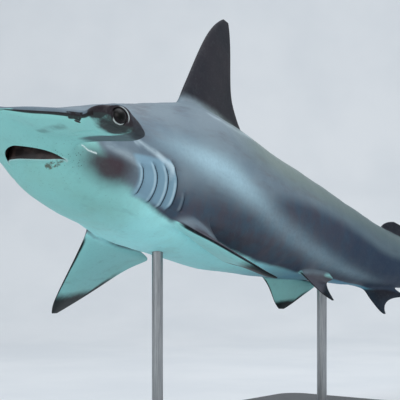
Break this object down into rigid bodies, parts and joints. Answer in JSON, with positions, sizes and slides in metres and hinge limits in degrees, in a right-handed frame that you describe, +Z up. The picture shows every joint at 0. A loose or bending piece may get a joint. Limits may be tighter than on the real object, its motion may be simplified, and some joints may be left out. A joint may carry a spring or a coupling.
{
  "type": "scalloped hammerhead shark model",
  "caption": "Life-size hammerhead shark, nose up and banked as if turning, held by upright rods over a flat display base.",
  "frame": {"origin": "centre of the underside of the stand's base, where it rests on the floor", "axes": "+Z up; the shark's length lies along X, its head towards -X and its tail towards +X, its left side towards -Y"},
  "size_m": [2.3225, 0.6501, 1.0051],
  "materials": {
    "skin": "satin, grey above and pale below",
    "fin_skin": "satin, dark grey",
    "eye": "wet and glossy",
    "stand_metal": "brushed",
    "stand_plate": "painted dark grey, satin"
  },
  "bodies": {
    "root": {"head": "skin", "eye_left": "eye", "eye_right": "eye", "torso_front": "skin", "torso_middle": "skin", "torso_rear": "skin", "tail_stem": "skin", "caudal_upper_lobe": "fin_skin", "caudal_lower_lobe": "fin_skin", "first_dorsal_fin": "fin_skin", "second_dorsal_fin": "fin_skin", "anal_fin": "fin_skin", "pectoral_fin_left": "fin_skin", "pectoral_fin_right": "fin_skin", "pelvic_fin_left": "fin_skin", "pelvic_fin_right": "fin_skin", "stand_base": "stand_plate", "stand_rod_front": "stand_metal", "stand_rod_rear": "stand_metal"}
  },
  "joints": []
}
